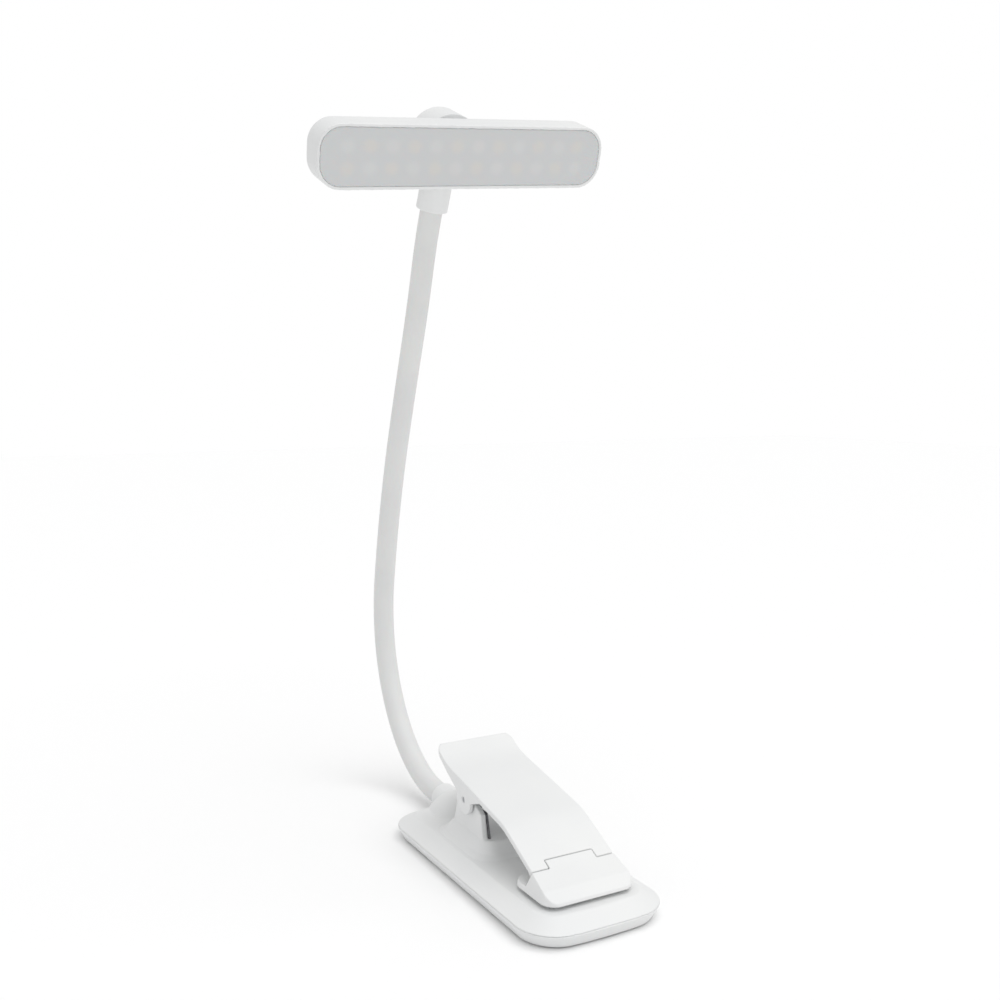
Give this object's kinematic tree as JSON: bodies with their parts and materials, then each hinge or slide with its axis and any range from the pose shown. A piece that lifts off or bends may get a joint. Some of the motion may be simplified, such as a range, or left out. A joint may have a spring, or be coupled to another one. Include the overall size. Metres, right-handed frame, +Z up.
{
  "type": "clip-on reading lamp",
  "caption": "Clip-on reading lamp: a weighted clip base with a sprung lever and jaw, a bendable sleeved gooseneck and a long rounded light head on a swivel.",
  "frame": {"origin": "centre of the underside of the base's foot pad, on the table", "axes": "+Z up, +X across the base towards the charging port and the button, -Y towards the jaw's open end and the side the lit face looks to, +Y towards the neck's root"},
  "size_m": [0.1296, 0.2069, 0.3156],
  "materials": {
    "white_plastic": "fine satin moulded ABS",
    "white_silicone": "matt silicone",
    "grip_rubber": "matt soft rubber",
    "foot_rubber": "matt foam rubber",
    "diffuser_plastic": "frosted translucent acrylic",
    "steel": "plain zinc-plated steel",
    "spring_steel": "drawn spring wire",
    "circuit_board": "solder mask on glass-fibre laminate",
    "white_board": "white solder mask",
    "led_warm_chip": "phosphor",
    "led_cool_chip": "phosphor",
    "battery_wrap": "laminated pouch",
    "foam": "adhesive foam",
    "switch_plastic": "moulded nylon",
    "lens_plastic": "clear acrylic"
  },
  "bodies": {
    "base": {"base_lower_shell": "white_plastic", "base_upper_shell": "white_plastic", "base_foot_pad": "foot_rubber", "lower_jaw_grip": "grip_rubber", "battery_foam": "foam", "battery_cell": "battery_wrap", "ballast_plate": "steel", "control_board": "circuit_board", "usb_port": "steel", "tact_switch": "switch_plastic", "indicator_lens": "lens_plastic", "case_screws": "steel", "neck_clamp": "white_plastic", "clamp_screws": "steel", "hinge_pin": "steel", "torsion_spring": "spring_steel", "neck_core_0": "steel", "neck_sleeve_1": "white_silicone"},
    "lever": {"lever": "white_plastic", "jaw_pad_pin": "steel"},
    "jaw_pad": {"jaw_pad": "white_plastic", "upper_jaw_grip": "grip_rubber"},
    "mode_button": {"mode_button": "white_plastic"},
    "neck_link_1": {"neck_core_1": "steel", "neck_sleeve_2": "white_silicone"},
    "neck_link_2": {"neck_core_2": "steel", "neck_sleeve_3": "white_silicone"},
    "neck_link_3": {"neck_core_3": "steel", "neck_sleeve_4": "white_silicone"},
    "neck_link_4": {"neck_core_4": "steel", "neck_sleeve_5": "white_silicone"},
    "neck_link_5": {"neck_core_5": "steel", "neck_sleeve_6": "white_silicone"},
    "neck_link_6": {"neck_core_6": "steel", "neck_sleeve_7": "white_silicone"},
    "neck_link_7": {"neck_core_7": "steel", "neck_sleeve_8": "white_silicone"},
    "neck_link_8": {"neck_core_8": "steel", "neck_sleeve_9": "white_silicone"},
    "neck_top": {"neck_core_9": "steel", "swivel_collar": "white_plastic", "cup_cap": "white_plastic", "swivel_washer": "steel"},
    "head": {"head_shell": "white_plastic", "diffuser": "diffuser_plastic", "led_board": "white_board", "leds_warm": "led_warm_chip", "leds_cool": "led_cool_chip", "board_screws": "steel", "swivel_screw": "steel"}
  },
  "joints": [
    {"name": "lever_hinge", "type": "hinge", "parent": "base", "child": "lever", "pos_m": [0, 0.0143, 0.0286], "axis": [-1, 0, 0], "range_deg": [0, 28], "stiffness_Nm_per_rad": 0.5, "springref_deg": -34.38, "deforming": ["torsion_spring"]},
    {"name": "jaw_pad_hinge", "type": "hinge", "parent": "lever", "child": "jaw_pad", "pos_m": [0, -0.03524, 0.01687], "axis": [1, 0, 0], "range_deg": [0, 28]},
    {"name": "button_press", "type": "slide", "parent": "base", "child": "mode_button", "axis": [0, 0, -1], "range_m": [0, 0.0005], "stiffness_N_per_m": 1500, "springref_m": -0.0003},
    {"name": "neck_bend_1", "type": "hinge", "parent": "base", "child": "neck_link_1", "pos_m": [0, 0.074, 0.0086], "axis": [1, 0, 0], "range_deg": [-8, 15], "deforming": ["neck_sleeve_1"]},
    {"name": "neck_bend_2", "type": "hinge", "parent": "neck_link_1", "child": "neck_link_2", "pos_m": [0, 0.09536, 0.01314], "axis": [0, 0.4067, -0.9135], "range_deg": [-20, 20], "deforming": ["neck_sleeve_2"]},
    {"name": "neck_bend_3", "type": "hinge", "parent": "neck_link_2", "child": "neck_link_3", "pos_m": [0, 0.11753, 0.02985], "axis": [1, 0, 0], "range_deg": [-15, 15], "deforming": ["neck_sleeve_3"]},
    {"name": "neck_bend_4", "type": "hinge", "parent": "neck_link_3", "child": "neck_link_4", "pos_m": [0, 0.13305, 0.05903], "axis": [0, 0.9613, -0.2756], "range_deg": [-20, 20], "deforming": ["neck_sleeve_4"]},
    {"name": "neck_bend_5", "type": "hinge", "parent": "neck_link_4", "child": "neck_link_5", "pos_m": [0, 0.13512, 0.09844], "axis": [1, 0, 0], "range_deg": [-15, 15], "deforming": ["neck_sleeve_5"]},
    {"name": "neck_bend_6", "type": "hinge", "parent": "neck_link_5", "child": "neck_link_6", "pos_m": [0, 0.12651, 0.13728], "axis": [0, 0.9659, 0.2588], "range_deg": [-20, 20], "deforming": ["neck_sleeve_6"]},
    {"name": "neck_bend_7", "type": "hinge", "parent": "neck_link_6", "child": "neck_link_7", "pos_m": [0, 0.11454, 0.17523], "axis": [1, 0, 0], "range_deg": [-15, 15], "deforming": ["neck_sleeve_7"]},
    {"name": "neck_bend_8", "type": "hinge", "parent": "neck_link_7", "child": "neck_link_8", "pos_m": [0, 0.10044, 0.21245], "axis": [0, 0.9304, 0.3665], "range_deg": [-20, 20], "deforming": ["neck_sleeve_8"]},
    {"name": "neck_bend_9", "type": "hinge", "parent": "neck_link_8", "child": "neck_top", "pos_m": [0, 0.08716, 0.24996], "axis": [1, 0, 0], "range_deg": [-15, 8], "deforming": ["neck_sleeve_9"]},
    {"name": "head_swivel", "type": "hinge", "parent": "neck_top", "child": "head", "pos_m": [0, 0.06531, 0.29994], "axis": [0, 0.9135, 0.4067], "range_deg": [-90, 90]}
  ],
  "couplings": [
    {"joint": "jaw_pad_hinge", "follows": "lever_hinge", "ratio": 1}
  ]
}
